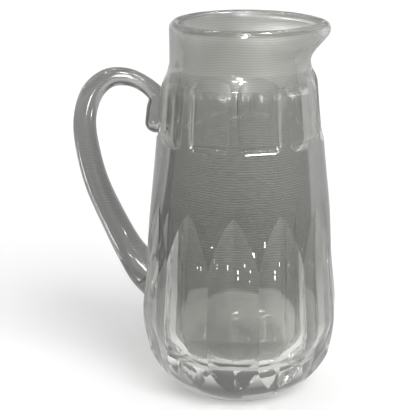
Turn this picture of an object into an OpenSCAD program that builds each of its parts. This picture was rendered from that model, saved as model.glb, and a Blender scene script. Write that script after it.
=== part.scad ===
// Cut crystal pitcher: a blown body with ground cuts, and a handle put on hot.
// Millimetres, +Z up, foot on Z = 0, spout along +X, handle along -X.

/* [Body] */
// Height from the table to the top of the rim
height = 240; // [228:1:260]
// Radius of the flat foot
foot_r = 31.5; // [29:0.5:35]
// Radius of the uncut belly at its widest
belly_r = 63.6; // [62:0.2:66]
// Height of the widest place
belly_z = 56; // [52:1:62]
// Radius of the wall where the shoulder starts
shoulder_r = 50.3; // [49.6:0.1:51.4]
// Radius of the neck
neck_r = 43.9; // [43:0.1:44.4]
// Height of neck and rim together
neck_h = 25; // [23:1:29]
// Height of the shoulder curve
shoulder_h = 19; // [17:1:22]

/* [Inside] */
// Thickness of the glass under the drink
floor_t = 27; // [22:1:32]
// Thickness of the uncut wall at the belly
belly_wall = 13.8; // [12.5:0.1:15]
// Thickness of the uncut wall at the shoulder
shoulder_wall = 9.3; // [8.6:0.1:10.5]
// Thickness of the neck
neck_wall = 8.6; // [7.6:0.1:9.4]

/* [Rim and spout] */
// Thickness of the rim
rim_t = 7.4; // [6:0.1:8]
// Radius of the rim away from the spout
rim_r = 44; // [43.6:0.1:45.2]
// Height of the rounded rim edge
rim_round = 4.8; // [3.6:0.1:5.6]
// How far the spout opens the rim as a whole
spout_flare = 8; // [5:0.5:9.5]
// How far the beak of the spout goes beyond that
spout_beak = 4; // [2.5:0.1:6]
// Half width of the beak, in degrees round the rim
beak_angle = 17; // [13:1:24]

/* [Mitre cuts] */
// Number of pointed cuts round the belly
mitre_count = 12; // [12:1:12]
// Depth of each cut along its middle
mitre_depth = 4; // [3.7:0.1:4.3]
// Lean of each half of a cut, in degrees
mitre_lean = 4.6; // [3.8:0.2:5.4]
// Height of the upper point of the cuts
mitre_top = 128.7; // [122:1:136]
// Height of the lower point of the cuts
mitre_low = 12; // [10:1:15]
// Length over which a cut deepens, from above
mitre_run_top = 41; // [36:1:46]
// Length over which a cut deepens, from below
mitre_run_low = 21; // [18:1:24]

/* [Panels] */
// Number of flat panels round the upper wall
panel_count = 10; // [10:1:10]
// Width of each panel
panel_w = 28.4; // [26:0.2:29]
// Drop from the shoulder to the lower edge of the panels
panel_drop = 30; // [26:1:34]
// Depth of the panels at their lower edge
panel_depth = 3.1; // [2.7:0.1:3.5]
// Tilt of the panels, in degrees
panel_tilt = 6.5; // [5.6:0.1:6.6]
// Radius of the lower corners of the panels
panel_corner = 5.5; // [4:0.5:8]

/* [Handle] */
// Reach of the middle of the rod from the axis
handle_reach = 98.4; // [94:0.2:104]
// Height where the middle of the rod comes out of the belly
handle_low = 80; // [74:1:86]
// Rise of the bow above the start of the shoulder
handle_rise = 7.8; // [5.8:0.2:10]
// Thickness of the rod above its lower end
rod_low = 18.6; // [17:0.2:20]
// How much the rod spreads where it is fused to the belly
rod_spread = 5; // [3:0.5:7]
// Thickness of the rod at the top of the bow
rod_top = 11; // [10:0.2:13]
// Thickness of the tail laid on the wall
tail_t = 14; // [12.5:0.1:15]
// How deep the tail is pressed on to its panel
tail_press = 2.6; // [2:0.1:3.4]
// Space between the end of the tail and the lower edge of the panel
tail_gap = 2.2; // [1.6:0.2:5]
// Width of the rod for each unit of its thickness
rod_broad = 1.16; // [1:0.02:1.3]

/* [Hidden] */
$fn = 72;
turns = 72;
mitre_step = 360 / mitre_count;
panel_step = 360 / panel_count;
neck_z = height - neck_h;
shoulder_z = neck_z - shoulder_h;
panel_low = shoulder_z - panel_drop;
ledge_w = 0.03;

// Point at t on a curve drawn by four points
function curve(p, t) =
    pow(1 - t, 3) * p[0] + 3 * pow(1 - t, 2) * t * p[1]
    + 3 * (1 - t) * t * t * p[2] + t * t * t * p[3];
function trace(p, n) = [for (i = [1:n]) curve(p, i / n)];

// Outline of the blown wall, foot to neck, as [radius, height]
low_curve = [
    [foot_r, 0],
    [foot_r + 0.514 * (belly_r - foot_r), 0.16 * belly_z],
    [belly_r, 0.393 * belly_z],
    [belly_r, belly_z]
];
wall_curve = [
    [belly_r, belly_z],
    [belly_r, belly_z + 10],
    [shoulder_r + 2.7, shoulder_z - 46],
    [shoulder_r, shoulder_z]
];
neck_curve = [
    [shoulder_r, shoulder_z],
    [shoulder_r - 0.1, shoulder_z + 0.56 * shoulder_h],
    [neck_r, shoulder_z + 0.64 * shoulder_h],
    [neck_r, neck_z]
];
belly_line = concat([low_curve[0]], trace(low_curve, 11), trace(wall_curve, 15));
wall_line = concat(belly_line, trace(neck_curve, 10));

// Outline of the hollow, middle of the floor to neck
hollow_r = belly_r - belly_wall;
hollow_top = shoulder_r - shoulder_wall;
bore_r = neck_r - neck_wall;
floor_curve = [
    [0.62 * hollow_r, floor_t],
    [0.83 * hollow_r, floor_t],
    [hollow_r, floor_t + 10],
    [hollow_r, floor_t + 22]
];
side_curve = [
    [hollow_r, floor_t + 22],
    [hollow_r, floor_t + 38],
    [hollow_top + 2.6, shoulder_z - 46],
    [hollow_top, shoulder_z]
];
bore_curve = [
    [hollow_top, shoulder_z],
    [hollow_top - 0.8, shoulder_z + 0.5 * shoulder_h],
    [bore_r, shoulder_z + 0.6 * shoulder_h],
    [bore_r, neck_z]
];
hollow_line = concat(
    [floor_curve[0]],
    trace(floor_curve, 8),
    trace(side_curve, 10),
    trace(bore_curve, 8)
);

// Radius of the uncut wall at a height
wall_table = [for (p = wall_line) [p[1], p[0]]];
function wall_r(z) = lookup(z, wall_table);

// Depth of a mitre cut at a height, with its two runs eased into the full depth
function ease(a, b, k) = min(a, b) - pow(max(k - abs(a - b), 0), 2) / (4 * k);
function mitre_at(z) = ease(
    mitre_depth * (z - mitre_low) / mitre_run_low,
    ease(mitre_depth * (mitre_top - z) / mitre_run_top, mitre_depth, 1),
    1
);

// Distance from the axis to the face of a panel at a height
panel_face = wall_r(panel_low) - panel_depth;
function panel_r(z) = panel_face - (z - panel_low) * tan(panel_tilt);

// The rim opens towards the spout: a wide flare and a narrower beak
function reach(a) =
    let (b = abs(a > 180 ? a - 360 : a))
    spout_flare * pow((1 + cos(a)) / 2, 4) + spout_beak * exp(-pow(b / beak_angle, 2));
rim_z = height - rim_round;
function flare(z) =
    let (u = pow(max(0, min(1, (z - neck_z) / (rim_z - neck_z))), 1.12))
    u * u * (3 - 2 * u);
function outer_r(a, z) =
    neck_r + (rim_r - neck_r) * flare(z) + reach(a) * flare(z);
function inner_r(a, z) =
    outer_r(a, z) - neck_wall - (rim_t - neck_wall) * flare(z);

module blown_form() {
    rotate_extrude()
        polygon(concat([[0, 0]], wall_line, [[0, neck_z]]));
}

// The faces of all the mitre cuts, drawn as one star-shaped column round the wall
module mitre_faces() {
    side = 1 / (cos(mitre_step / 2) - sin(mitre_step / 2) * tan(mitre_lean));
    rows = concat(
        [for (p = belly_line) [p[0] - mitre_at(p[1]), p[1]]],
        [[neck_r + 30, height]]
    );
    n = 2 * mitre_count;
    m = len(rows);
    points = [
        for (p = rows)
            for (k = [0:n - 1])
                let (r = p[0] * (k % 2 == 0 ? 1 : side), a = k * mitre_step / 2)
                [r * cos(a), r * sin(a), p[1]]
    ];
    sides = [
        for (i = [0:m - 2])
            for (k = [0:n - 1])
                let (q = (k + 1) % n)
                [i * n + k, (i + 1) * n + k, (i + 1) * n + q, i * n + q]
    ];
    bottom = [[for (k = [0:n - 1]) k]];
    top = [[for (k = [n - 1:-1:0]) (m - 1) * n + k]];
    polyhedron(points, concat(sides, bottom, top));
}

module panel_shape() {
    top = neck_z + 1 - panel_low;
    translate([-panel_w / 2, panel_corner])
        square([panel_w, top - panel_corner]);
    translate([panel_corner - panel_w / 2, 0])
        square([panel_w - 2 * panel_corner, top]);
    translate([panel_corner - panel_w / 2, panel_corner])
        circle(panel_corner);
    translate([panel_w / 2 - panel_corner, panel_corner])
        circle(panel_corner);
}

module panel_cut() {
    translate([panel_face, 0, panel_low])
        rotate([0, -panel_tilt, 0])
            rotate([90, 0, 90])
                linear_extrude(20)
                    panel_shape();
}

// The blown form with its cuts, still solid
module cut_form() {
    difference() {
        intersection() {
            blown_form();
            mitre_faces();
        }
        for (k = [0:panel_count - 1])
            rotate(k * panel_step)
                panel_cut();
    }
}

module hollow() {
    rotate_extrude()
        polygon(concat([[0, floor_t]], hollow_line, [[bore_r, height], [0, height]]));
}

// Neck, rim and spout: one ring of glass that opens towards the spout
module neck_ring() {
    low_out = neck_r - ledge_w;
    low_in = (bore_r + ledge_w) / cos(180 / turns);
    up = [0, 0.12, 0.26, 0.4, 0.54, 0.68, 0.84, 1];
    round = [25, 50, 72, 90, 108, 130, 155];
    rows = concat(
        [for (u = up) [0, neck_z + u * (rim_z - neck_z)]],
        [for (w = round) [1, w]],
        [for (i = [len(up) - 1:-1:0]) [2, neck_z + up[i] * (rim_z - neck_z)]]
    );
    m = len(rows);
    function ring_r(p, a) =
        p[0] == 0 ? (p[1] == neck_z ? low_out : outer_r(a, p[1]))
        : p[0] == 2 ? (p[1] == neck_z ? low_in : inner_r(a, p[1]))
        : outer_r(a, rim_z) - rim_t * (1 - cos(p[1])) / 2;
    function ring_z(p) = p[0] == 1 ? rim_z + rim_round * sin(p[1]) : p[1];
    points = [
        for (p = rows)
            for (k = [0:turns - 1])
                let (a = k * 360 / turns, r = ring_r(p, a))
                [r * cos(a), r * sin(a), ring_z(p)]
    ];
    faces = [
        for (i = [0:m - 1])
            for (k = [0:turns - 1])
                let (
                    j = (i + 1) % m,
                    q = (k + 1) % turns,
                    a = i * turns + k,
                    b = i * turns + q,
                    c = j * turns + q,
                    d = j * turns + k
                )
                each [[a, d, c], [a, c, b]]
    ];
    polyhedron(points, faces);
}

module body() {
    color([0.80, 0.82, 0.84, 0.6]) {
        union() {
            difference() {
                cut_form();
                hollow();
            }
            neck_ring();
        }
    }
}

// Middle line of the handle from inside the belly, over the bow, down the panel: [x, z, thickness]
bow_z = shoulder_z + handle_rise;
bow_x = 54;
function bow(u, v, t) =
    [bow_x + u * (handle_reach - bow_x), handle_low + v * (bow_z - handle_low), t];
tail_low = panel_low + tail_gap;
function tail(z, t) = [panel_r(z) + tail_t - tail_press - t / 2, z, t];
function rod_t(f) = rod_low - f * (rod_low - rod_top);
rod = [
    bow(-0.34, -0.15, rod_t(0) + 2.4 * rod_spread),
    bow(-0.06, -0.082, rod_t(0) + 1.9 * rod_spread),
    bow(0.16, -0.02, rod_t(0) + 1.1 * rod_spread),
    bow(0.36, 0.073, rod_t(0) + 0.1 * rod_spread),
    bow(0.561, 0.208, rod_t(0.21)),
    bow(0.84, 0.435, rod_t(0.38)),
    bow(0.975, 0.636, rod_t(0.47)),
    bow(0.998, 0.784, rod_t(0.57)),
    bow(0.885, 0.914, rod_t(0.6)),
    bow(0.658, 0.988, rod_t(0.82)),
    bow(0.394, 0.998, rod_t(1)),
    bow(0.158, 0.966, rod_t(1.1)),
    tail(shoulder_z - 4, tail_t - 3),
    tail(shoulder_z - 13, tail_t - 0.6),
    tail(tail_low + 7, tail_t),
    tail(tail_low, tail_t),
    tail(tail_low - 7, tail_t)
];

// Point at t on the smooth line through four points of the rod, between the middle two
function through(a, b, c, d, t) =
    0.5 * (2 * b + (c - a) * t + (2 * a - 5 * b + 4 * c - d) * t * t
    + (3 * b - a - 3 * c + d) * t * t * t);
rod_steps = 4;
rod_line = concat(
    [
        for (i = [1:len(rod) - 3])
            for (k = [0:rod_steps - 1])
                through(rod[i - 1], rod[i], rod[i + 1], rod[i + 2], k / rod_steps)
    ],
    [rod[len(rod) - 2]]
);

// The end of the tail is round: the last sections shrink like the end of a ball
tail_round = 6.5;
function shrink(z, last) =
    last ? sqrt(max(0.02, 1 - pow(max(0, (tail_low + tail_round - z) / tail_round), 2))) : 1;

module handle_rod() {
    n = 24;
    m = len(rod_line);
    function along(i) =
        let (
            d = rod_line[min(i + 1, m - 1)] - rod_line[max(i - 1, 0)],
            l = sqrt(d[0] * d[0] + d[1] * d[1])
        )
        [d[0] / l, d[1] / l];
    points = [
        for (i = [0:m - 1])
            let (
                p = rod_line[i],
                t = along(i),
                s = p[2] / 2 * shrink(p[1], i > m / 2)
            )
            for (k = [0:n - 1])
                let (a = k * 360 / n, e = s * cos(a), w = s * rod_broad * sin(a))
                [-(p[0] - e * t[1]), w, p[1] + e * t[0]]
    ];
    sides = [
        for (i = [0:m - 2])
            for (k = [0:n - 1])
                let (
                    q = (k + 1) % n,
                    a = i * n + k,
                    b = i * n + q,
                    c = (i + 1) * n + q,
                    d = (i + 1) * n + k
                )
                each [[a, b, c], [a, c, d]]
    ];
    first = [[for (k = [n - 1:-1:0]) k]];
    last = [[for (k = [0:n - 1]) (m - 1) * n + k]];
    polyhedron(points, concat(sides, first, last));
}

module handle() {
    color([0.78, 0.80, 0.82, 0.6]) {
        difference() {
            handle_rod();
            cut_form();
        }
    }
}

body();
handle();
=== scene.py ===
# A cut crystal pitcher on a pale floor: a blown body with ground cuts, and a handle put on hot.
import math

import bpy
from mathutils import Euler, Matrix, Vector


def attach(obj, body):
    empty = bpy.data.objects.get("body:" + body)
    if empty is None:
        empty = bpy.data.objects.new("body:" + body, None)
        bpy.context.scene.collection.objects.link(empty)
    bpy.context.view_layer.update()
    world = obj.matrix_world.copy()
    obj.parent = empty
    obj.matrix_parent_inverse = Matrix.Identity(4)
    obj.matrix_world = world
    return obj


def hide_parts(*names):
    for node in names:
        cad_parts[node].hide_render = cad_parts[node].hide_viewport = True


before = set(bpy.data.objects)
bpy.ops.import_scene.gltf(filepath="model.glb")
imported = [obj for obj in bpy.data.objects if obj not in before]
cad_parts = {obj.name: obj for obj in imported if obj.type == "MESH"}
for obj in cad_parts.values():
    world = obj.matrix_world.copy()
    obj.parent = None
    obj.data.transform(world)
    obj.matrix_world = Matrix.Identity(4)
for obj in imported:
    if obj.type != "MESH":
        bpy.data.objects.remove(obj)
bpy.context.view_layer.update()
scene = bpy.context.scene
scene.view_settings.view_transform = "Standard"

# Light crosses many faces of cut crystal before it comes out again, so its paths are long
scene.cycles.max_bounces = 32
scene.cycles.glossy_bounces = 24
scene.cycles.transmission_bounces = 32


# The camera stands a metre off, a little towards the spout, and looks down on the pitcher.
# It aims left of the pitcher's axis, and a slight roll keeps that axis upright in the picture.
image_px = 410
focal_px = 1633
camera_reach = 1.0
camera_height = 0.4065
camera_turn = math.radians(4)
camera_pitch = math.radians(15.91)
camera_aside = math.radians(1.277)
camera_roll = math.radians(-0.32)

camera_data = bpy.data.cameras.new("camera")
camera_data.lens = camera_data.sensor_width * focal_px / image_px
camera = bpy.data.objects.new("camera", camera_data)
camera_aim = Euler((math.pi / 2 - camera_pitch, 0, camera_turn + camera_aside)).to_matrix()
camera.matrix_world = (camera_aim @ Matrix.Rotation(camera_roll, 3, "Z")).to_4x4()
camera.location = (
    camera_reach * math.sin(camera_turn),
    -camera_reach * math.cos(camera_turn),
    camera_height,
)
scene.collection.objects.link(camera)
scene.camera = camera


# The body: one gather of clear lead crystal, blown with a heavy bottom, its spout drawn from the hot rim.
# Cold, it is ground on wheels: pointed mitre cuts round the belly, and flat panels under the neck.
# Then it is polished until the cuts are as clear as the blown wall.
height = 0.240
foot_r, foot_edge = 0.0315, 0.0004
belly_r, belly_z = 0.0636, 0.056
shoulder_r, shoulder_z = 0.0503, 0.196
neck_r, neck_z = 0.0439, 0.215
floor_z = 0.027
hollow_r, hollow_top, bore_r = 0.0498, 0.0410, 0.0353
rim_r, rim_t, rim_round = 0.0440, 0.0074, 0.0048
rim_z = height - rim_round
spout_flare, spout_beak, beak_angle = 0.008, 0.004, math.radians(17)
flare_fall = 4
mitre_cuts, mitre_depth, mitre_lean = 12, 0.004, math.radians(4.6)
mitre_low, mitre_top = 0.012, 0.1287
mitre_run_low, mitre_run_top = 0.021, 0.041
panels, panel_w, panel_low = 10, 0.0296, 0.166
panel_depth, panel_tilt, panel_corner = 0.0031, math.radians(6.5), 0.0055
panel_cove = 0.0073


def curve(p0, p1, p2, p3, steps):
    """Points along the curve that four points draw, without the first of them."""
    line = []
    for i in range(1, steps + 1):
        t = i / steps
        shares = ((1 - t) ** 3, 3 * (1 - t) ** 2 * t, 3 * (1 - t) * t * t, t ** 3)
        line.append(tuple(sum(s * p[k] for s, p in zip(shares, (p0, p1, p2, p3))) for k in (0, 1)))
    return line


fine_steps, plain_steps, short_steps = 44, 30, 24
low_wall = curve(
    (foot_r, foot_edge),
    (foot_r + 0.514 * (belly_r - foot_r), 0.16 * belly_z),
    (belly_r, 0.393 * belly_z),
    (belly_r, belly_z),
    fine_steps,
)
side_wall = curve(
    (belly_r, belly_z),
    (belly_r, belly_z + 0.010),
    (shoulder_r + 0.0027, shoulder_z - 0.046),
    (shoulder_r, shoulder_z),
    fine_steps,
)
shoulder_h = neck_z - shoulder_z
neck_wall = curve(
    (shoulder_r, shoulder_z),
    (shoulder_r - 0.0001, shoulder_z + 0.56 * shoulder_h),
    (neck_r, shoulder_z + 0.64 * shoulder_h),
    (neck_r, neck_z),
    plain_steps,
)
wall_line = [(foot_r, foot_edge)] + low_wall + side_wall + neck_wall
hollow_floor = [(0, floor_z), (0.3 * hollow_r, floor_z), (0.62 * hollow_r, floor_z)] + curve(
    (0.62 * hollow_r, floor_z),
    (0.83 * hollow_r, floor_z),
    (hollow_r, floor_z + 0.010),
    (hollow_r, floor_z + 0.022),
    fine_steps,
)
hollow_side = curve(
    (hollow_r, floor_z + 0.022),
    (hollow_r, floor_z + 0.038),
    (hollow_top + 0.0026, shoulder_z - 0.046),
    (hollow_top, shoulder_z),
    plain_steps,
)
hollow_neck = curve(
    (hollow_top, shoulder_z),
    (hollow_top - 0.0008, shoulder_z + 0.5 * shoulder_h),
    (bore_r, shoulder_z + 0.6 * shoulder_h),
    (bore_r, neck_z),
    short_steps,
)
hollow_line = hollow_floor + hollow_side + hollow_neck


def wall_radius(z):
    """Radius of the uncut wall at a height."""
    for (r0, z0), (r1, z1) in zip(wall_line, wall_line[1:]):
        if z <= z1:
            return r0 + (r1 - r0) * (z - z0) / (z1 - z0)
    return neck_r


# Rim and spout: rows that open together, each with its share of the spout's reach
rim_rows = 18
lip_rows = 44
rim_ease = 1.12
outer_neck, inner_neck = [], []
for i in range(1, rim_rows + 1):
    rise = (i / rim_rows) ** rim_ease
    share = rise * rise * (3 - 2 * rise)
    row_r = neck_r + (rim_r - neck_r) * share
    row_z = neck_z + (rim_z - neck_z) * i / rim_rows
    row_t = neck_r - bore_r + (rim_t - neck_r + bore_r) * share
    outer_neck.append((row_r, row_z, share, 0))
    inner_neck.append((row_r - row_t, row_z, share, 1))
lip = []
for i in range(1, lip_rows):
    turn = math.pi * i / lip_rows
    lip_r = rim_r - rim_t * (1 - math.cos(turn)) / 2
    lip.append((lip_r, rim_z + rim_round * math.sin(turn), 1, i / lip_rows))
foot = [(0, 0), (0.4 * foot_r, 0), (0.8 * foot_r, 0), (foot_r - foot_edge, 0)]
body_outline = (
    [(r, z, 0, 0) for r, z in foot + wall_line]
    + outer_neck
    + lip
    + inner_neck[::-1]
    + [(r, z, 0, 1) for r, z in hollow_line[::-1]]
)


def mesh_object(name, points, edges=(), faces=()):
    """A new object at the origin, in the scene, with a mesh of these points, edges and faces."""
    mesh = bpy.data.meshes.new(name)
    mesh.from_pydata(points, edges, faces)
    item = bpy.data.objects.new(name, mesh)
    scene.collection.objects.link(item)
    return item


def outline_object(name, rows):
    """A line for the lathe: rows of radius, height, share of the opening, and inner skin or not."""
    links = [(i, i + 1) for i in range(len(rows) - 1)]
    item = mesh_object(name, [(row[0], 0, row[1]) for row in rows], links)
    for label, place in (("opening", 2), ("inner", 3)):
        values = [row[place] for row in rows]
        item.data.attributes.new(label, "FLOAT", "POINT").data.foreach_set("value", values)
    return item


def loft_object(name, rows):
    """A closed solid through rows of points, with as many points in each row."""
    n = len(rows[0])
    points = [p for row in rows for p in row]
    faces = [tuple(range(n - 1, -1, -1)), tuple(range(len(points) - n, len(points)))]
    for i in range(len(rows) - 1):
        for k in range(n):
            a, b = i * n + k, i * n + (k + 1) % n
            faces.append((a, b, b + n, a + n))
    return mesh_object(name, points, faces=faces)


def eased(a, b, k):
    """The lesser of two values, rounded over where they meet."""
    return min(a, b) - max(k - abs(a - b), 0) ** 2 / (4 * k)


def mitre_bottom(z):
    """Distance from the axis to the bottom of a mitre cut at a height."""
    ease = 0.001
    from_low = mitre_depth * (z - mitre_low) / mitre_run_low
    from_top = mitre_depth * (mitre_top - z) / mitre_run_top
    return wall_radius(z) - eased(from_low, eased(from_top, mitre_depth, ease), ease)


# A mitre wheel's sweep: a blunt wedge that follows the wall, deepest in the middle of its run
wedge_w, wedge_out, wedge_rows = 0.0195, 0.012, 72
overrun_low, overrun_top = 0.008, 0.012
wedge_low, wedge_top = mitre_low - overrun_low, mitre_top + overrun_top
wedge = []
for i in range(wedge_rows + 1):
    z = wedge_low + (wedge_top - wedge_low) * i / wedge_rows
    near = mitre_bottom(z)
    edge = near + wedge_w * math.tan(mitre_lean)
    far = edge + wedge_out
    corners = ((near, 0), (edge, -wedge_w), (far, -wedge_w), (far, wedge_w), (edge, wedge_w))
    wedge.append([(x, y, z) for x, y in corners])
mitre_wheel = loft_object("mitre_wheel", wedge)

# A panel wheel's sweep: flat, leaning in, and out at the neck, with round lower corners and a coved edge
panel_face = wall_radius(panel_low) - panel_depth
panel_rows, cove_rows = 24, 16
panel_out = 0.020
flat_stops = (-0.92, -0.5, 0, 0.5, 0.92)


def panel_edge(across, rise):
    """Distance from a place on a panel to the panel's outline."""
    aside = abs(across) - panel_w / 2 + panel_corner
    below = panel_corner - rise
    if aside > 0 and below > 0:
        return panel_corner - math.hypot(aside, below)
    return min(panel_w / 2 - abs(across), rise)


cove_turn = math.acos(1 - panel_depth / panel_cove)
cove_w = panel_cove * math.sin(cove_turn)
cove_line = [cove_w - panel_cove * math.sin(cove_turn * (1 - i / cove_rows)) for i in range(cove_rows + 1)]
panel_rise = cove_line + [
    cove_w + (neck_z - panel_low - cove_w) * i / panel_rows for i in range(1, panel_rows + 1)
]
slab = []
for rise in panel_rise:
    corner = max(panel_corner - rise, 0) / panel_corner
    half = panel_w / 2 - panel_corner * (1 - math.sqrt(1 - corner * corner))
    flat = panel_face - rise * math.tan(panel_tilt)
    z = panel_low + rise
    line = []
    flat_half = half - cove_w
    stops = [inset - half for inset in cove_line] + [flat_half * share for share in flat_stops]
    for across in stops + [half - inset for inset in cove_line[::-1]]:
        cove = max(cove_w - max(panel_edge(across, rise), 0), 0) / panel_cove
        line.append((flat + panel_cove * (1 - math.sqrt(1 - cove * cove)), across, z))
    far = panel_face + panel_out
    slab.append(line[::-1] + [(far, -half, z), (far, half, z)])
panel_wheel = loft_object("panel_wheel", slab)


def put(tree, kind, inputs, **settings):
    """A new node with its settings, and a link or a value for each input, by name or place."""
    node = tree.nodes.new(kind)
    for name, value in settings.items():
        setattr(node, name, value)
    for place, value in inputs.items():
        if isinstance(value, bpy.types.NodeSocket):
            tree.links.new(value, node.inputs[place])
        else:
            node.inputs[place].default_value = value
    return node.outputs[0]


def maths(tree, operation, a, b=0.0, c=0.0):
    """The result of one operation on two or three links or numbers."""
    return put(tree, "ShaderNodeMath", {0: a, 1: b, 2: c}, operation=operation)


def new_tree(name, inputs):
    """A geometry tree with these named inputs, and the links that come from them."""
    tree = bpy.data.node_groups.new(name, "GeometryNodeTree")
    for label, kind in {"Geometry": "Geometry", **inputs}.items():
        tree.interface.new_socket(label, in_out="INPUT", socket_type="NodeSocket" + kind)
    tree.interface.new_socket("Geometry", in_out="OUTPUT", socket_type="NodeSocketGeometry")
    return tree, tree.nodes.new("NodeGroupInput").outputs


def end_tree(tree, geometry, material):
    """Close a tree: one plain mesh of one material."""
    realized = put(tree, "GeometryNodeRealizeInstances", {"Geometry": geometry})
    painted = put(tree, "GeometryNodeSetMaterial", {"Geometry": realized, "Material": material})
    put_out = tree.nodes.new("NodeGroupOutput")
    tree.links.new(painted, put_out.inputs[0])


def creased(tree, geometry, angle):
    """Smooth faces, with every edge sharper than an angle left crisp."""
    bend = put(tree, "GeometryNodeInputMeshEdgeAngle", {})
    crisp = maths(tree, "GREATER_THAN", bend, angle)
    smooth = put(
        tree,
        "GeometryNodeSetShadeSmooth",
        {"Geometry": geometry, "Shade Smooth": True},
        domain="FACE",
    )
    return put(
        tree,
        "GeometryNodeSetShadeSmooth",
        {"Geometry": smooth, "Selection": crisp, "Shade Smooth": False},
        domain="EDGE",
    )


seam_weld, cut_weld = 1e-6, 5e-6


def cut_away(tree, blank, tool):
    """A blank less a tool, with the slivers along the cut closed."""
    cut = put(
        tree,
        "GeometryNodeMeshBoolean",
        {"Mesh 1": blank, "Mesh 2": tool},
        operation="DIFFERENCE",
        solver="MANIFOLD",
    )
    return put(tree, "GeometryNodeMergeByDistance", {"Geometry": cut, "Distance": cut_weld})


def round_the_axis(tree, tool, count, first, step, of):
    """Copies of a tool round the axis: every step-th of a number of places, from the first."""
    points = put(tree, "GeometryNodePoints", {"Count": count})
    place = maths(tree, "ADD", maths(tree, "MULTIPLY", put(tree, "GeometryNodeInputIndex", {}), step), first)
    turn = maths(tree, "DIVIDE", maths(tree, "MULTIPLY", place, 2 * math.pi), of)
    turned = put(tree, "ShaderNodeCombineXYZ", {"Z": turn})
    copies = put(
        tree, "GeometryNodeInstanceOnPoints", {"Points": points, "Instance": tool, "Rotation": turned}
    )
    return put(tree, "GeometryNodeRealizeInstances", {"Geometry": copies})


lathe, given = new_tree(
    "blow_and_cut",
    {
        "Turns": "Int",
        "Spout flare": "Float",
        "Spout beak": "Float",
        "Beak angle": "Float",
        "Mitre wheel": "Object",
        "Mitre cuts": "Int",
        "Panel wheel": "Object",
        "Panels": "Int",
        "Crease": "Float",
        "Crystal": "Material",
    },
)
rows = put(lathe, "GeometryNodeAttributeDomainSize", {"Geometry": given["Geometry"]}, component="MESH")
columns = maths(lathe, "ADD", given["Turns"], 1)
grid = put(lathe, "GeometryNodeMeshGrid", {"Vertices X": columns, "Vertices Y": rows})
index = put(lathe, "GeometryNodeInputIndex", {})
row = maths(lathe, "MODULO", index, rows)
column = maths(lathe, "FLOOR", maths(lathe, "DIVIDE", index, rows))
angle = maths(lathe, "DIVIDE", maths(lathe, "MULTIPLY", column, 2 * math.pi), given["Turns"])
spot = put(
    lathe,
    "GeometryNodeSampleIndex",
    {"Geometry": given["Geometry"], "Value": put(lathe, "GeometryNodeInputPosition", {}), "Index": row},
    data_type="FLOAT_VECTOR",
)
opening, inner = (
    put(
        lathe,
        "GeometryNodeSampleIndex",
        {
            "Geometry": given["Geometry"],
            "Value": put(lathe, "GeometryNodeInputNamedAttribute", {"Name": label}),
            "Index": row,
        },
    )
    for label in ("opening", "inner")
)
facing = maths(lathe, "DIVIDE", maths(lathe, "ADD", maths(lathe, "COSINE", angle), 1), 2)
flare = maths(lathe, "MULTIPLY", maths(lathe, "POWER", facing, flare_fall), given["Spout flare"])
aside = maths(lathe, "ARCCOSINE", maths(lathe, "COSINE", angle))
aside = maths(lathe, "DIVIDE", aside, given["Beak angle"])
beak = maths(lathe, "EXPONENT", maths(lathe, "MULTIPLY", maths(lathe, "MULTIPLY", aside, aside), -1))
reach = maths(lathe, "ADD", flare, maths(lathe, "MULTIPLY", beak, given["Spout beak"]))
split = lathe.nodes.new("ShaderNodeSeparateXYZ")
lathe.links.new(spot, split.inputs[0])
radius = maths(lathe, "ADD", split.outputs["X"], maths(lathe, "MULTIPLY", reach, opening))
turned = put(
    lathe,
    "ShaderNodeCombineXYZ",
    {
        "X": maths(lathe, "MULTIPLY", radius, maths(lathe, "COSINE", angle)),
        "Y": maths(lathe, "MULTIPLY", radius, maths(lathe, "SINE", angle)),
        "Z": split.outputs["Z"],
    },
)
blown = put(lathe, "GeometryNodeSetPosition", {"Geometry": grid, "Position": turned})
blown = put(lathe, "GeometryNodeStoreNamedAttribute", {"Geometry": blown, "Name": "inner", "Value": inner})
blown = put(lathe, "GeometryNodeMergeByDistance", {"Geometry": blown, "Distance": seam_weld})
wheels = []
for label in ("Mitre", "Panel"):
    info = lathe.nodes.new("GeometryNodeObjectInfo")
    lathe.links.new(given[label + " wheel"], info.inputs["Object"])
    marked = {"Geometry": info.outputs["Geometry"], "Name": label.lower() + "_cut", "Value": 1.0}
    wheels.append(put(lathe, "GeometryNodeStoreNamedAttribute", marked, domain="FACE"))
across = lathe.nodes.new("ShaderNodeSeparateXYZ")
lathe.links.new(put(lathe, "GeometryNodeInputPosition", {}), across.inputs[0])
# Painted light: one half of each mitre wheel is marked as lit, and the glass it cuts takes paler tints
lit = {"Geometry": wheels[0], "Name": "mitre_lit", "Value": maths(lathe, "LESS_THAN", across.outputs["Y"], 0)}
wheels[0] = put(lathe, "GeometryNodeStoreNamedAttribute", lit, domain="FACE")
half_cuts = maths(lathe, "DIVIDE", given["Mitre cuts"], 2)
cut = blown
for first in (0, 1):
    tools = round_the_axis(lathe, wheels[0], half_cuts, first, 2, given["Mitre cuts"])
    cut = cut_away(lathe, cut, tools)
tools = round_the_axis(lathe, wheels[1], given["Panels"], 0, 1, given["Panels"])
cut = cut_away(lathe, cut, tools)
end_tree(lathe, creased(lathe, cut, given["Crease"]), given["Crystal"])


def shaped(blank, tree, values):
    """Run a tree on an object with values by input name, and keep the result as its plain mesh."""
    modifier = blank.modifiers.new(tree.name, "NODES")
    modifier.node_group = tree
    for socket in tree.interface.items_tree:
        if socket.in_out == "INPUT" and socket.name in values:
            modifier[socket.identifier] = values[socket.name]
    bpy.context.view_layer.update()
    graph = bpy.context.evaluated_depsgraph_get()
    mesh = bpy.data.meshes.new_from_object(blank.evaluated_get(graph))
    blank.modifiers.remove(modifier)
    blank.data = mesh
    return blank


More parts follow.
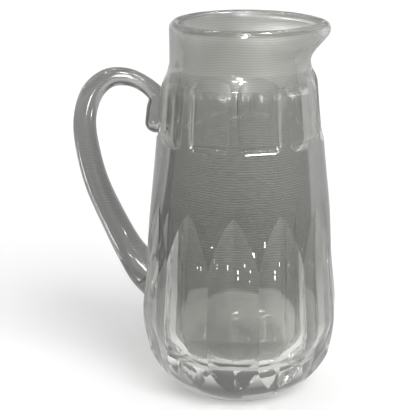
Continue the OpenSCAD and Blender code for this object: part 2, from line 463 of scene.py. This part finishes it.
# Optical ripple: blown glass is never quite even, so a slow wave and a fine cord run through its surface
wave_share, cord_share, cord_flat = 0.8, 0.2, (1, 1, 6)
thread_size, thread_wander, thread_slow = 196, 9, 0.16
ripple = bpy.data.node_groups.new("blown_ripple", "ShaderNodeTree")
for label, in_out, kind in (
    ("Wave size", "INPUT", "Float"),
    ("Cord size", "INPUT", "Float"),
    ("Height", "OUTPUT", "Float"),
    ("Cloud", "OUTPUT", "Float"),
    ("Threads", "OUTPUT", "Float"),
):
    ripple.interface.new_socket(label, in_out=in_out, socket_type="NodeSocket" + kind)
ripple_in = ripple.nodes.new("NodeGroupInput").outputs
ripple_out = ripple.nodes.new("NodeGroupOutput").inputs
place = ripple.nodes.new("ShaderNodeTexCoord").outputs["Object"]
wave = put(ripple, "ShaderNodeTexNoise", {"Vector": place, "Scale": ripple_in["Wave size"], "Detail": 1.0})
flat = put(ripple, "ShaderNodeMapping", {"Vector": place, "Scale": cord_flat})
cord = put(ripple, "ShaderNodeTexNoise", {"Vector": flat, "Scale": ripple_in["Cord size"], "Detail": 2.0})
slow = maths(ripple, "MULTIPLY", wave, wave_share)
swell = maths(ripple, "ADD", slow, maths(ripple, "MULTIPLY", cord, cord_share))
ripple.links.new(swell, ripple_out["Height"])
ripple.links.new(wave, ripple_out["Cloud"])
threads = put(
    ripple,
    "ShaderNodeTexWave",
    {
        "Vector": place,
        "Scale": thread_size,
        "Distortion": thread_wander,
        "Detail": 1,
        "Detail Scale": thread_slow,
    },
    bands_direction="Z",
)
ripple.links.new(threads.node.outputs["Fac"], ripple_out["Threads"])


def mapped(tree, value, start, end, low=0.0, high=1.0):
    """A value carried from one span to another, and held at its ends."""
    return put(
        tree,
        "ShaderNodeMapRange",
        {"Value": value, "From Min": start, "From Max": end, "To Min": low, "To Max": high},
    )


def mixed(tree, share, a, b, kind="MIX"):
    """Two colours mixed by a share, or the second laid on the first."""
    return put(tree, "ShaderNodeMixRGB", {"Fac": share, "Color1": a, "Color2": b}, blend_type=kind)


def mark(tree, name):
    """One where the mesh bears a mark, and nought elsewhere."""
    node = tree.nodes.new("ShaderNodeAttribute")
    node.attribute_name = name
    return node.outputs["Fac"]


def graded(tree, value, rows, blue=1.0):
    """A grey that changes through rows of value and tone, with its own share of blue."""
    node = tree.nodes.new("ShaderNodeValToRGB")
    tree.links.new(value, node.inputs["Fac"])
    stops = node.color_ramp.elements
    while len(stops) < len(rows):
        stops.new(0.5)
    while len(stops) > len(rows):
        stops.remove(stops[-1])
    for stop, (place, tone) in zip(stops, rows):
        stop.position = place
        stop.color = (tone, tone, tone * blue, 1)
    return node.outputs["Color"]


# Threads come in above the cuts and grow weaker at the panels, by shares of the height
thread_in, thread_out = (0.28, 0.40), (0.64, 0.72)
thread_gain, thread_loss = 2.1, 0.8


def thread_play(tree, threads, rise, strength):
    """What the fine threads do to the tint."""
    gain = mapped(tree, rise, *thread_in, high=thread_gain * strength)
    loss = mapped(tree, rise, *thread_out, high=thread_loss * strength)
    threads = maths(tree, "SUBTRACT", threads, 0.5)
    threads = maths(tree, "MULTIPLY", threads, maths(tree, "SUBTRACT", gain, loss))
    return maths(tree, "ADD", threads, 1)


# Painted light: the glass is tinted paler on the spout's side than on the handle's, as if lit from there, and
# the more so above the cuts
side_span, side_rise = (-0.01, 0.05), (0.3, 0.42)
handle_side_shade, spout_side_light = (1.15, 1.25), (1.6, 1.9)


def side_painted_light(tree, along, rise):
    """Painted light: how much the tint is paled by the side that a place lies on."""
    shade = mapped(tree, rise, *side_rise, *handle_side_shade)
    light = mapped(tree, rise, *side_rise, *spout_side_light)
    return mapped(tree, along, *side_span, shade, light)


# Painted light and shade: low on the body every second mitre cut is tinted deeper towards its edges, and
# those between paler, standing for what the cuts mirror
facet_rows = [(0.012, 0.0), (0.022, 1.0), (0.062, 1.0), (0.080, 0.0)]
deep_edge, deep_middle, pale_facet = -0.34, 0.06, 0.42


def facet_painted_shading(tree, along, across, rise):
    """Painted light and shade on the mitre cuts, cut by cut."""
    turn = maths(tree, "ARCTAN2", across, along)
    place = maths(tree, "MULTIPLY_ADD", turn, mitre_cuts / (2 * math.pi), 0.5)
    aside = maths(tree, "ABSOLUTE", maths(tree, "SUBTRACT", maths(tree, "FRACT", place), 0.5))
    aside = maths(tree, "MULTIPLY", aside, 2)
    other = maths(tree, "FLOORED_MODULO", maths(tree, "FLOOR", place), 2)
    deep = maths(tree, "MULTIPLY", other, maths(tree, "MULTIPLY_ADD", aside, deep_edge, deep_middle))
    pale = maths(tree, "MULTIPLY", maths(tree, "SUBTRACT", 1, other), pale_facet)
    low_part = graded(tree, rise, [(z / height, share) for z, share in facet_rows])
    play = maths(tree, "MULTIPLY", maths(tree, "ADD", deep, pale), low_part)
    return maths(tree, "MULTIPLY_ADD", play, mark(tree, "mitre_cut"), 1)


# The glass is a little warm, hardly hazy but for the inside of the neck, and stops half of a shadow ray
crystal_ior, warmth, tint_drift, edge_shade_fall = 1.545, 0.925, 0.02, 1.6
cloud_span, haze = (0.3, 0.7), 0.012
neck_span, neck_haze = (0.187, 0.206), 0.32
shadow_share = 0.52
clear = (1, 1, 1, 1)


def crystal(name, skins, wave_size, cord_size, relief, thread_tint, edge_shade, dullness, seats=()):
    """Polished lead crystal: clear, heavy in the eye, with a faint ripple.

    Each skin has tints by height, painted shade that stands for the dim surroundings seen through the clear
    glass. The first lies all over, and each other one where the mesh bears its name.
    Light takes its tint once, as it enters the glass, and none where the handle sits on the body.
    """
    material = bpy.data.materials.new(name)
    material.use_nodes = True
    tree = material.node_tree
    shader = tree.nodes["Principled BSDF"]
    shader.inputs["Transmission Weight"].default_value = 1.0
    shader.inputs["IOR"].default_value = crystal_ior
    group = tree.nodes.new("ShaderNodeGroup")
    group.node_tree = ripple
    group.inputs["Wave size"].default_value = wave_size
    group.inputs["Cord size"].default_value = cord_size
    cloud = group.outputs["Cloud"]
    bump = {"Height": group.outputs["Height"], "Strength": 1.0, "Distance": relief}
    tree.links.new(put(tree, "ShaderNodeBump", bump), shader.inputs["Normal"])
    split = tree.nodes.new("ShaderNodeSeparateXYZ")
    tree.links.new(tree.nodes.new("ShaderNodeTexCoord").outputs["Object"], split.inputs[0])
    along, across, up = split.outputs
    drift = maths(tree, "MULTIPLY", maths(tree, "SUBTRACT", cloud, 0.5), tint_drift)
    rise = maths(tree, "ADD", maths(tree, "DIVIDE", up, height), drift)
    colour = None
    for label, tints in skins.items():
        tone = graded(tree, rise, [(z / height, tint) for z, tint in tints], warmth)
        colour = mixed(tree, mark(tree, label), colour, tone) if colour else tone
    change = thread_play(tree, group.outputs["Threads"], rise, thread_tint)
    change = maths(tree, "MULTIPLY", change, side_painted_light(tree, along, rise))
    # Painted shade: the tint deepens where the glass is seen edge-on, but not on the panels
    slant = put(tree, "ShaderNodeLayerWeight", {"Blend": 0.5}).node.outputs["Facing"]
    edge = maths(tree, "MULTIPLY", maths(tree, "POWER", slant, edge_shade_fall), edge_shade)
    edge = maths(tree, "MULTIPLY", edge, maths(tree, "SUBTRACT", 1, mark(tree, "panel_cut")))
    change = maths(tree, "MULTIPLY", change, maths(tree, "SUBTRACT", 1, edge))
    colour = mixed(tree, 1, colour, change, "MULTIPLY")
    if "mitre_cut" in skins:
        colour = mixed(tree, 1, colour, facet_painted_shading(tree, along, across, rise), "MULTIPLY")
    for low, high, half, out in seats:
        seat = maths(tree, "LESS_THAN", maths(tree, "ABSOLUTE", across), half)
        seat = maths(tree, "MULTIPLY", seat, maths(tree, "LESS_THAN", along, -out))
        seat = maths(tree, "MULTIPLY", seat, maths(tree, "GREATER_THAN", up, low))
        seat = maths(tree, "MULTIPLY", seat, maths(tree, "LESS_THAN", up, high))
        colour = mixed(tree, seat, colour, clear)
    leaving = tree.nodes.new("ShaderNodeNewGeometry").outputs["Backfacing"]
    tree.links.new(mixed(tree, leaving, colour, clear), shader.inputs["Base Color"])
    rough = mapped(tree, cloud, *cloud_span, dullness, dullness + haze)
    if "inner" in skins:
        neck = mapped(tree, up, *neck_span, high=neck_haze)
        rough = maths(tree, "MULTIPLY_ADD", neck, mark(tree, "inner"), rough)
    tree.links.new(rough, shader.inputs["Roughness"])
    shadow = tree.nodes.new("ShaderNodeLightPath").outputs["Is Shadow Ray"]
    solid = maths(tree, "SUBTRACT", 1, maths(tree, "MULTIPLY", shadow, shadow_share))
    tree.links.new(solid, shader.inputs["Alpha"])
    return material


# Each seat of the handle: its lowest and highest point, half its width, and its distance from the axis
handle_seats = [(0.169, 0.198, 0.0066, 0.0435), (0.066, 0.100, 0.012, 0.055)]
# Painted light and shade: the skins' greys by height, and the paler or deeper cut faces, stand for the
# surroundings seen through the glass
body_crystal = crystal(
    "body_crystal",
    {
        "outer": [
            (0.0, 0.10), (0.006, 0.17), (0.014, 0.28), (0.030, 0.52), (0.050, 0.27),
            (0.078, 0.15), (0.100, 0.135), (0.120, 0.17), (0.150, 0.23), (0.185, 0.27),
            (0.203, 0.40), (0.218, 0.42), (0.232, 0.46), (0.236, 0.58), (0.2396, 0.44),
        ],
        "inner": [
            (0.046, 0.32), (0.049, 0.14), (0.070, 0.14), (0.090, 0.21), (0.117, 0.25), (0.160, 0.27),
            (0.188, 0.24), (0.197, 0.22), (0.207, 0.27), (0.220, 0.26), (0.235, 0.25), (0.239, 0.13),
        ],
        "mitre_cut": [
            (0.0, 0.30), (0.015, 0.30), (0.030, 0.48), (0.050, 0.28),
            (0.078, 0.195), (0.100, 0.21), (0.120, 0.26),
        ],
        # Painted light: paler tints for the lit half of each mitre cut
        "mitre_lit": [
            (0.0, 0.30), (0.015, 0.30), (0.030, 0.48), (0.050, 0.29),
            (0.078, 0.24), (0.100, 0.27), (0.120, 0.36),
        ],
        "panel_cut": [(0.166, 0.22), (0.188, 0.24), (0.205, 0.26)],
    },
    wave_size=22,
    cord_size=60,
    relief=0.00012,
    thread_tint=0.22,
    edge_shade=0.85,
    dullness=0.0,
    seats=handle_seats,
)
body = shaped(
    outline_object("crystal_body", body_outline),
    lathe,
    {
        "Turns": 240,
        "Spout flare": spout_flare,
        "Spout beak": spout_beak,
        "Beak angle": beak_angle,
        "Mitre wheel": mitre_wheel,
        "Mitre cuts": mitre_cuts,
        "Panel wheel": panel_wheel,
        "Panels": panels,
        "Crease": math.radians(6.2),
        "Crystal": body_crystal,
    },
)
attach(body, "root")
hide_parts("body")


# The handle: a rod of hot crystal, pressed on to the belly, drawn up and bent over in a bow.
# It thins on its way up, and its end is laid down the panel opposite the spout and fused there.
handle_reach, bow_x, handle_low = 0.0984, 0.054, 0.080
bow_z = shoulder_z + 0.0078
rod_low, rod_spread, rod_top = 0.0186, 0.005, 0.011
tail_t, tail_press, tail_gap, tail_round = 0.014, 0.0026, 0.0022, 0.0065
rod_broad = 1.16
tail_low = panel_low + tail_gap
joint_overlap = 0.0008


def bow(along, up, thickness):
    """A place on the free rod, by its share of the bow's reach and of its rise."""
    return (bow_x + along * (handle_reach - bow_x), handle_low + up * (bow_z - handle_low), thickness)


def tail(z, thickness):
    """A place on the tail, which lies pressed on its panel."""
    face = panel_face - (z - panel_low) * math.tan(panel_tilt)
    return (face + tail_t - tail_press - thickness / 2, z, thickness)


def rod_t(share):
    """Thickness of the rod as it thins towards the top of the bow."""
    return rod_low - share * (rod_low - rod_top)


rod = [
    bow(-0.34, -0.15, rod_t(0) + 2.4 * rod_spread),
    bow(-0.06, -0.082, rod_t(0) + 1.9 * rod_spread),
    bow(0.16, -0.02, rod_t(0) + 1.1 * rod_spread),
    bow(0.36, 0.073, rod_t(0) + 0.1 * rod_spread),
    bow(0.561, 0.208, rod_t(0.21)),
    bow(0.84, 0.435, rod_t(0.38)),
    bow(0.975, 0.636, rod_t(0.47)),
    bow(0.998, 0.784, rod_t(0.57)),
    bow(0.885, 0.914, rod_t(0.6)),
    bow(0.658, 0.988, rod_t(0.82)),
    bow(0.394, 0.998, rod_t(1)),
    bow(0.158, 0.966, rod_t(1.1)),
    tail(shoulder_z - 0.004, tail_t - 0.003),
    tail(shoulder_z - 0.013, tail_t - 0.0006),
    tail(tail_low + 0.007, tail_t),
    tail(tail_low, tail_t),
    tail(tail_low - 0.007, tail_t),
]


def through(a, b, c, d, t):
    """A point on the smooth line through four points, between the middle two."""
    return tuple(
        0.5 * (2 * q + (r - p) * t + (2 * p - 5 * q + 4 * r - s) * t * t + (3 * q - p - 3 * r + s) * t ** 3)
        for p, q, r, s in zip(a, b, c, d)
    )


rod_steps = 10
rod_line = []
for i in range(1, len(rod) - 2):
    for k in range(rod_steps):
        rod_line.append(through(*rod[i - 1:i + 3], k / rod_steps))
tail_end = len(rod_line) - rod_steps
rod_line = [p for i, p in enumerate(rod_line) if i < tail_end or p[1] > tail_low + tail_round]
end_rows, end_least = 14, 0.02
for i in range(1, end_rows + 1):
    fall = math.pi / 2 * i / end_rows
    x, z, thickness = tail(tail_low + tail_round * (1 - math.sin(fall)), tail_t)
    rod_line.append((x, z, thickness * max(math.cos(fall), end_least)))

rod_object = mesh_object(
    "crystal_handle",
    [(-x, 0, z) for x, z, thickness in rod_line],
    [(i, i + 1) for i in range(len(rod_line) - 1)],
)
thickness_data = rod_object.data.attributes.new("thickness", "FLOAT", "POINT")
thickness_data.data.foreach_set("value", [thickness for x, z, thickness in rod_line])

# The handle is trimmed by a solid form a little inside the body's skin, so that the two are one glass
trim_outline = [(max(r - joint_overlap, 0), z, 0, 0) for r, z in foot + wall_line] + [(0, neck_z, 0, 0)]
for tool in (mitre_wheel, panel_wheel):
    for vertex in tool.data.vertices:
        vertex.co.x -= joint_overlap
trim = shaped(
    outline_object("trim", trim_outline),
    lathe,
    {
        "Turns": 120,
        "Beak angle": beak_angle,
        "Mitre wheel": mitre_wheel,
        "Mitre cuts": mitre_cuts,
        "Panel wheel": panel_wheel,
        "Panels": panels,
        "Crease": math.pi,
    },
)

sweep, given = new_tree(
    "draw_and_trim",
    {"Sides": "Int", "Broad": "Float", "Trim": "Object", "Crease": "Float", "Crystal": "Material"},
)
path = put(sweep, "GeometryNodeMeshToCurve", {"Mesh": given["Geometry"]})
path = put(sweep, "GeometryNodeSetCurveNormal", {"Curve": path}, mode="FREE")
path.node.inputs["Normal"].default_value = (0, 1, 0)
ring = put(sweep, "GeometryNodeCurvePrimitiveCircle", {"Resolution": given["Sides"], "Radius": 0.5})
broad = put(sweep, "ShaderNodeCombineXYZ", {"X": given["Broad"], "Y": 1, "Z": 1})
oval = put(sweep, "GeometryNodeTransform", {"Geometry": ring, "Scale": broad})
thick = put(sweep, "GeometryNodeInputNamedAttribute", {"Name": "thickness"})
swept = put(
    sweep,
    "GeometryNodeCurveToMesh",
    {"Curve": path, "Profile Curve": oval, "Scale": thick, "Fill Caps": True},
)
trim_tool = sweep.nodes.new("GeometryNodeObjectInfo")
sweep.links.new(given["Trim"], trim_tool.inputs["Object"])
seat = {"Geometry": trim_tool.outputs["Geometry"], "Name": "joint", "Value": 1.0}
seat = put(sweep, "GeometryNodeStoreNamedAttribute", seat, domain="FACE")
trimmed = cut_away(sweep, swept, seat)
end_tree(sweep, creased(sweep, trimmed, given["Crease"]), given["Crystal"])

# Painted shade: the handle's greys by height stand for the dim surroundings seen through it
handle_crystal = crystal(
    "handle_crystal",
    {"outer": [(0.060, 0.070), (0.130, 0.084), (0.210, 0.128)], "joint": [(0.0, 1.0)]},
    wave_size=30,
    cord_size=90,
    relief=0.0001,
    thread_tint=0.17,
    edge_shade=0.6,
    dullness=0.12,
)
handle = shaped(
    rod_object,
    sweep,
    {"Sides": 64, "Broad": rod_broad, "Trim": trim, "Crease": math.radians(25), "Crystal": handle_crystal},
)
for tool in (mitre_wheel, panel_wheel, trim):
    bpy.data.objects.remove(tool)
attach(handle, "root")
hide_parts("handle")


# The floor: a wide sheet of matt white paper, laid flat, which the pitcher stands on and shades.
# The glass sees it glow, a painted pool of light, bright near the pitcher and dim further off, so that cut
# edges keep their outlines.
floor_half = 3.0
paper_white = (0.97, 0.97, 0.97, 1)
glass_glow, camera_glow = 0.5, 0.05
pool_span, pool_near, pool_far = (0.10, 0.34), 1.0, 0.1
floor = mesh_object(
    "floor",
    [(x * floor_half, y * floor_half, 0) for x, y in ((-1, -1), (1, -1), (1, 1), (-1, 1))],
    faces=[(0, 1, 2, 3)],
)
paper = bpy.data.materials.new("floor_paper")
paper.use_nodes = True
sheet = paper.node_tree
matt = sheet.nodes["Principled BSDF"]
matt.inputs["Base Color"].default_value = paper_white
matt.inputs["Roughness"].default_value = 1.0
matt.inputs["Specular IOR Level"].default_value = 0.0
rays = sheet.nodes.new("ShaderNodeLightPath").outputs
in_glass = maths(sheet, "MAXIMUM", rays["Is Glossy Ray"], rays["Is Transmission Ray"])
glass_part = maths(sheet, "MULTIPLY", in_glass, glass_glow)
share = maths(sheet, "ADD", glass_part, maths(sheet, "MULTIPLY", rays["Is Camera Ray"], camera_glow))
spot_on = sheet.nodes.new("ShaderNodeTexCoord").outputs["Object"]
away = put(sheet, "ShaderNodeVectorMath", {0: spot_on}, operation="LENGTH").node.outputs["Value"]
pool = mapped(sheet, away, *pool_span, pool_near, pool_far)
pool = maths(sheet, "MAXIMUM", pool, rays["Is Camera Ray"])
glow = put(sheet, "ShaderNodeEmission", {"Color": (1, 1, 1, 1), "Strength": pool})
seen = put(sheet, "ShaderNodeMixShader", {0: share, 1: matt.outputs[0], 2: glow})
sheet.links.new(seen, sheet.nodes["Material Output"].inputs["Surface"])
floor.data.materials.append(paper)

# The studio: white walls under a dim ceiling with a ring of pale panes, which only the glass sees.
# To the camera the whole room is white, and on plain surfaces it sheds one even light.
ambient = 0.62
ceiling_rows = [(0.14, 1.0), (0.30, 0.21), (1.0, 0.21)]
panes, pane_turn, pane_low, pane_top, pane_tone = 9, math.pi, 0.42, 0.93, 0.9
pane_edge = (0.1, 0.3)
world = bpy.data.worlds.new("studio")
world.use_nodes = True
scene.world = world
sky = world.node_tree
rays = sky.nodes.new("ShaderNodeLightPath").outputs
seen = maths(sky, "MAXIMUM", rays["Is Camera Ray"], rays["Is Glossy Ray"])
seen = maths(sky, "MAXIMUM", seen, rays["Is Transmission Ray"])
aim = sky.nodes.new("ShaderNodeSeparateXYZ")
sky.links.new(sky.nodes.new("ShaderNodeTexCoord").outputs["Generated"], aim.inputs[0])
ceiling = graded(sky, aim.outputs["Z"], ceiling_rows)
turn = maths(sky, "ARCTAN2", aim.outputs["Y"], aim.outputs["X"])
pane = maths(sky, "SINE", maths(sky, "MULTIPLY_ADD", turn, panes, pane_turn))
pane = mapped(sky, pane, *pane_edge)
pane = maths(sky, "MULTIPLY", pane, maths(sky, "GREATER_THAN", aim.outputs["Z"], pane_low))
pane = maths(sky, "MULTIPLY", pane, maths(sky, "LESS_THAN", aim.outputs["Z"], pane_top))
shown = maths(sky, "MAXIMUM", ceiling, maths(sky, "MULTIPLY", pane, pane_tone))
shown = maths(sky, "MAXIMUM", shown, rays["Is Camera Ray"])
level = mapped(sky, seen, 0.0, 1.0, ambient, shown)
sky.links.new(level, sky.nodes["Background"].inputs["Strength"])
sky.nodes["Background"].inputs["Color"].default_value = (1, 1, 1, 1)


# The lamps: a broad soft light from the spout's side lays the shadow, and boxes in front and overhead
# give the long highlights. Small lamps, in a ring above and low behind, make the sparkles in the cuts.
def lamp(name, kind, place, aim, watts):
    """A lamp at a place, turned to a point."""
    data = bpy.data.lights.new(name, kind)
    data.energy = watts
    item = bpy.data.objects.new(name, data)
    item.location = place
    item.rotation_euler = (item.location - Vector(aim)).to_track_quat("Z", "Y").to_euler()
    scene.collection.objects.link(item)
    return item


def flat_lamp(name, place, aim, watts, size):
    """A flat lamp that only the glass sees."""
    item = lamp(name, "AREA", place, aim, watts)
    item.data.shape = "RECTANGLE"
    item.data.size, item.data.size_y = size
    item.visible_camera = False
    item.visible_diffuse = False
    return item


key = lamp("soft_key", "SUN", place=(0.75, -1.15, 1.15), aim=(0, 0, 0), watts=2.3)
key.data.angle = math.radians(35)
key.visible_glossy = False
key.visible_transmission = False
box_aim = (0, 0, 0.2)
for name, place, size, watts, shows_through in (
    ("front_strip", (0.15, -1.25, 1.25), (0.70, 0.08), 7, False),
    ("front_box", (0.04, -1.50, 0.78), (0.16, 0.45), 5, False),
    ("front_tall", (0.14, -1.334, 1.071), (0.11, 0.95), 10, False),
    ("overhead_box", (0.46, -0.23, 1.57), (0.25, 0.22), 9, True),
    ("overhead_spot", (0.0, -0.45, 1.60), (0.30, 0.20), 8, True),
):
    box = flat_lamp(name, place, box_aim, watts, size)
    box.visible_transmission = shows_through
gleam_spots = ((-0.13, 0.216), (-0.035, 0.232), (0.02, 0.222), (0.065, 0.238))
gleam_z, gleam_aim, gleam_size, gleam_watts = 0.008, (0, 0, 0.08), (0.004, 0.003), 0.0012
for i, (x, y) in enumerate(gleam_spots):
    gleam = flat_lamp("gleam_%d" % i, (x, y, gleam_z), gleam_aim, gleam_watts, gleam_size)
    gleam.visible_glossy = False
glints, glint_first, glint_step, glint_y, glint_z = 5, -0.5, 0.26, 0.7, 0.06
glint_size, glint_watts = (0.012, 0.05), 0.03
for i in range(glints):
    place = (glint_first + glint_step * i, glint_y, glint_z)
    glint = flat_lamp("glint_%d" % i, place, (0, 0, glint_z), glint_watts, glint_size)
    glint.visible_glossy = False
spots, spot_ring, spot_height, spot_size, spot_watts = 7, 0.75, 1.45, (0.07, 0.07), 1.0
spot_first, spot_aim = 0.3, (0, 0, 0.1)
for i in range(spots):
    turn = 2 * math.pi * (i + spot_first) / spots
    place = (spot_ring * math.cos(turn), spot_ring * math.sin(turn), spot_height)
    flat_lamp("spot_%d" % i, place, spot_aim, spot_watts, spot_size)
